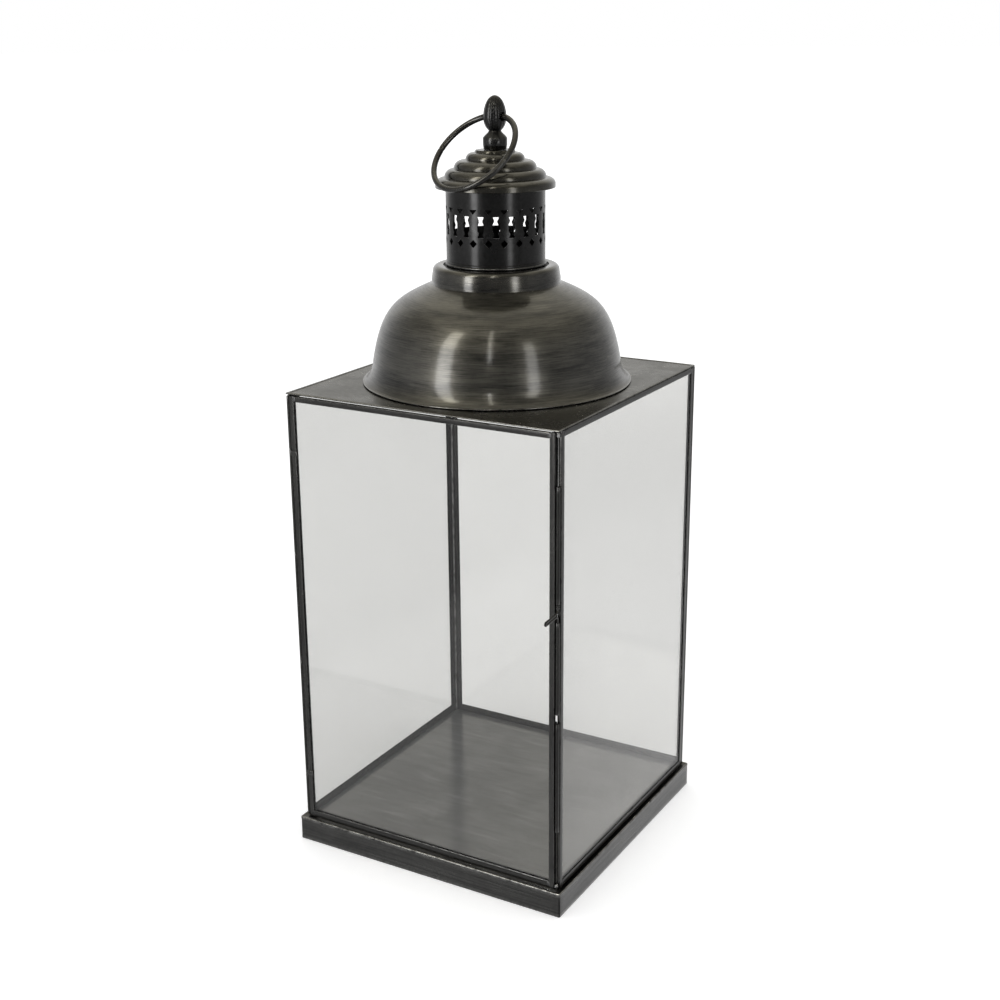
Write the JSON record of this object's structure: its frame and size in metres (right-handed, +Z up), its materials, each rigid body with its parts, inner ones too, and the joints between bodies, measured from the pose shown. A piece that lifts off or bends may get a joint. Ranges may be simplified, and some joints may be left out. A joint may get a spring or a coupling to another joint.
{
  "type": "candle lantern",
  "caption": "Square glazed candle lantern with a hinged front door, turning wire catch, spun dome, pierced chimney, ribbed cap and swinging ring handle.",
  "frame": {"origin": "centre of the base's underside, which is the face the lantern stands on", "axes": "+Z up through the finial; the hinged door is the -Y side, with its hinge at -X and its catch at +X"},
  "size_m": [0.289, 0.3059, 0.7078],
  "materials": {
    "pewter_sheet": "antiqued pewter, satin",
    "spun_pewter": "antiqued pewter, brushed round by spinning",
    "blackened_steel": "blackened, soft sheen",
    "worn_floor_sheet": "plain sheet, scratched",
    "clear_glass": "clear float glass"
  },
  "bodies": {
    "lantern": {"base_tray": "pewter_sheet", "floor_plate": "worn_floor_sheet", "left_rear_stile": "pewter_sheet", "left_front_stile": "pewter_sheet", "left_bottom_rail": "pewter_sheet", "left_top_rail": "pewter_sheet", "left_glass": "clear_glass", "back_right_stile": "pewter_sheet", "back_left_stile": "pewter_sheet", "back_bottom_rail": "pewter_sheet", "back_top_rail": "pewter_sheet", "back_glass": "clear_glass", "right_front_stile": "pewter_sheet", "right_rear_stile": "pewter_sheet", "right_bottom_rail": "pewter_sheet", "right_top_rail": "pewter_sheet", "right_glass": "clear_glass", "post_knuckle_upper": "pewter_sheet", "post_knuckle_middle": "pewter_sheet", "post_knuckle_lower": "pewter_sheet", "hinge_pin": "blackened_steel", "catch_tube_upper": "pewter_sheet", "catch_tube_middle": "pewter_sheet", "catch_tube_lower": "pewter_sheet", "door_stop_upper": "pewter_sheet", "door_stop_lower": "pewter_sheet", "top_plate": "pewter_sheet", "dome": "spun_pewter", "chimney": "blackened_steel", "chimney_cap": "spun_pewter", "finial": "blackened_steel", "finial_stud": "blackened_steel", "finial_washer": "blackened_steel", "finial_nut": "blackened_steel"},
    "door": {"door_hinge_stile": "pewter_sheet", "door_latch_stile": "pewter_sheet", "door_bottom_rail": "pewter_sheet", "door_top_rail": "pewter_sheet", "door_glass": "clear_glass", "door_knuckle_upper": "pewter_sheet", "door_knuckle_lower": "pewter_sheet", "hinge_strap_upper": "pewter_sheet", "hinge_strap_lower": "pewter_sheet"},
    "latch": {"catch_wire": "blackened_steel", "catch_collar_upper": "blackened_steel", "catch_collar_lower": "blackened_steel"},
    "ring": {"ring_handle": "blackened_steel"}
  },
  "joints": [
    {"name": "door_hinge", "type": "hinge", "parent": "lantern", "child": "door", "pos_m": [-0.1379, -0.1379, 0.2378], "axis": [0, 0, -1], "range_deg": [0, 120]},
    {"name": "catch_turn", "type": "hinge", "parent": "lantern", "child": "latch", "pos_m": [0.1379, -0.1379, 0.2902], "axis": [0, 0, 1], "range_deg": [-22, 90]},
    {"name": "ring_swing", "type": "hinge", "parent": "lantern", "child": "ring", "pos_m": [0, 0, 0.6897], "axis": [-0.9694, 0.2453, 0], "range_deg": [0, 272]}
  ]
}
